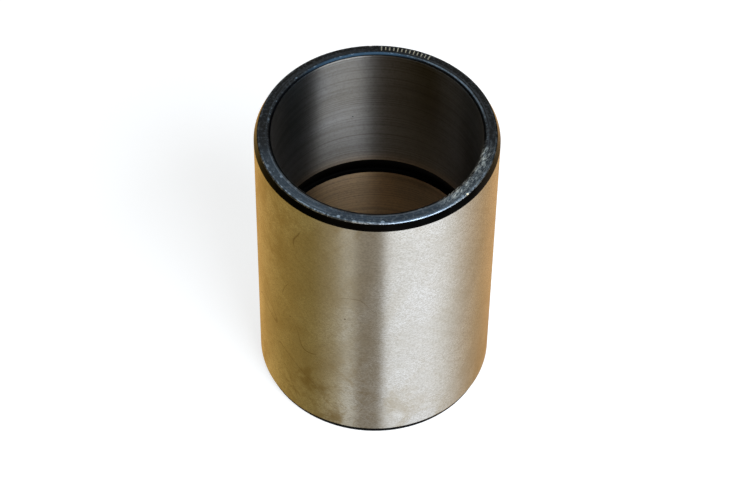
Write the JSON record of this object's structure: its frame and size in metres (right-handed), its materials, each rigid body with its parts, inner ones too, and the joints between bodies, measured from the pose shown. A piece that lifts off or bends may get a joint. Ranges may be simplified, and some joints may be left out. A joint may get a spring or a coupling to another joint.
{
  "type": "sleeve bushing",
  "caption": "Plain cylindrical steel sleeve bushing with tapered outer lead-ins, rounded bore mouths and an annular grease groove midway along its bore.",
  "frame": {"origin": "centre of the lower end face, on the sleeve's axis", "axes": "+Z along the sleeve's axis, towards the upper end; X and Y are any two directions across it"},
  "size_m": [0.105, 0.105, 0.145],
  "materials": {
    "hardened_steel": "ground outside and honed bore, with a black heat-treated skin left on the ends, lead-ins and groove"
  },
  "bodies": {
    "root": {"sleeve": "hardened_steel"}
  },
  "joints": []
}
